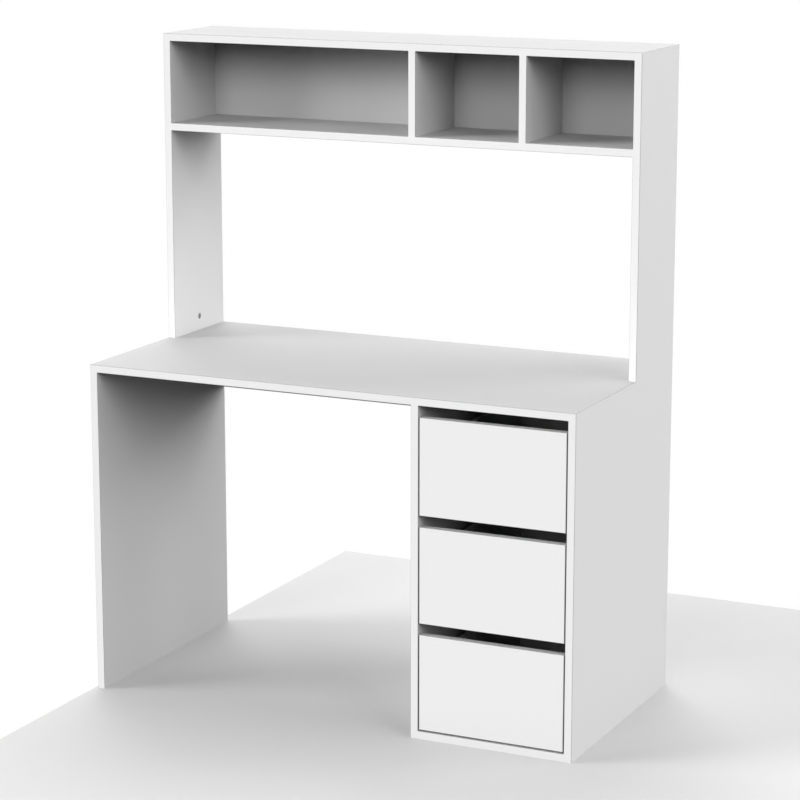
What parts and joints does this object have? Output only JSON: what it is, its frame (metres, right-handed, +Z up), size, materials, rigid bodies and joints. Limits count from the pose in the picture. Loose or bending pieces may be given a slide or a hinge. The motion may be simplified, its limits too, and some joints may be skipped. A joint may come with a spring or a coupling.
{
  "type": "student desk with hutch",
  "caption": "White melamine desk with a leg panel, a cabinet of inset drawers opened by finger gaps, and an open hutch with a compartmented top shelf on its rear edge.",
  "frame": {"origin": "on the floor, under the middle of the desk", "axes": "+Z up, +Y towards the rear, +X to the right as seen by a sitter; the drawers open towards -Y"},
  "size_m": [1.2, 0.596, 1.508],
  "materials": {
    "white_board": "matt white melamine on chipboard with white edging",
    "white_panel": "white lacquered thin fibreboard",
    "rail_steel": "zinc plated steel sheet",
    "ball_steel": "bright steel balls in a plated cage",
    "zinc": "dull die-cast zinc and plated steel",
    "beech": "plain beech"
  },
  "bodies": {
    "carcass": {"desktop": "white_board", "left_leg_panel": "white_board", "inner_gable": "white_board", "right_gable": "white_board", "cabinet_base": "white_board", "cabinet_back": "white_panel", "rear_rail": "white_board", "hutch_left_side": "white_board", "hutch_right_side": "white_board", "hutch_top": "white_board", "hutch_shelf": "white_board", "hutch_left_divider": "white_board", "hutch_right_divider": "white_board", "hutch_back": "white_panel", "cam_locks": "zinc", "cam_bolts": "zinc", "dowels": "beech", "connecting_screws": "zinc", "cabinet_rail_screws": "zinc", "lower_left_cabinet_rail": "rail_steel", "lower_right_cabinet_rail": "rail_steel", "middle_left_cabinet_rail": "rail_steel", "middle_right_cabinet_rail": "rail_steel", "upper_left_cabinet_rail": "rail_steel", "upper_right_cabinet_rail": "rail_steel"},
    "lower_drawer": {"lower_drawer_front": "white_board", "lower_drawer_left_side": "white_board", "lower_drawer_right_side": "white_board", "lower_drawer_back": "white_board", "lower_drawer_bottom": "white_panel", "lower_left_drawer_rail": "rail_steel", "lower_right_drawer_rail": "rail_steel", "lower_drawer_cam_fittings": "zinc", "lower_drawer_dowels": "beech", "lower_drawer_screws": "zinc"},
    "lower_cages": {"lower_drawer_ball_cages": "ball_steel"},
    "middle_drawer": {"middle_drawer_front": "white_board", "middle_drawer_left_side": "white_board", "middle_drawer_right_side": "white_board", "middle_drawer_back": "white_board", "middle_drawer_bottom": "white_panel", "middle_left_drawer_rail": "rail_steel", "middle_right_drawer_rail": "rail_steel", "middle_drawer_cam_fittings": "zinc", "middle_drawer_dowels": "beech", "middle_drawer_screws": "zinc"},
    "middle_cages": {"middle_drawer_ball_cages": "ball_steel"},
    "upper_drawer": {"upper_drawer_front": "white_board", "upper_drawer_left_side": "white_board", "upper_drawer_right_side": "white_board", "upper_drawer_back": "white_board", "upper_drawer_bottom": "white_panel", "upper_left_drawer_rail": "rail_steel", "upper_right_drawer_rail": "rail_steel", "upper_drawer_cam_fittings": "zinc", "upper_drawer_dowels": "beech", "upper_drawer_screws": "zinc"},
    "upper_cages": {"upper_drawer_ball_cages": "ball_steel"}
  },
  "joints": [
    {"name": "lower_drawer_slide", "type": "slide", "parent": "carcass", "child": "lower_drawer", "axis": [0, -1, 0], "range_m": [0, 0.375]},
    {"name": "lower_cage_slide", "type": "slide", "parent": "carcass", "child": "lower_cages", "axis": [0, -1, 0], "range_m": [0, 0.1875]},
    {"name": "middle_drawer_slide", "type": "slide", "parent": "carcass", "child": "middle_drawer", "axis": [0, -1, 0], "range_m": [0, 0.375]},
    {"name": "middle_cage_slide", "type": "slide", "parent": "carcass", "child": "middle_cages", "axis": [0, -1, 0], "range_m": [0, 0.1875]},
    {"name": "upper_drawer_slide", "type": "slide", "parent": "carcass", "child": "upper_drawer", "axis": [0, -1, 0], "range_m": [0, 0.375]},
    {"name": "upper_cage_slide", "type": "slide", "parent": "carcass", "child": "upper_cages", "axis": [0, -1, 0], "range_m": [0, 0.1875]}
  ],
  "couplings": [
    {"joint": "lower_cage_slide", "follows": "lower_drawer_slide", "ratio": 0.5},
    {"joint": "middle_cage_slide", "follows": "middle_drawer_slide", "ratio": 0.5},
    {"joint": "upper_cage_slide", "follows": "upper_drawer_slide", "ratio": 0.5}
  ]
}
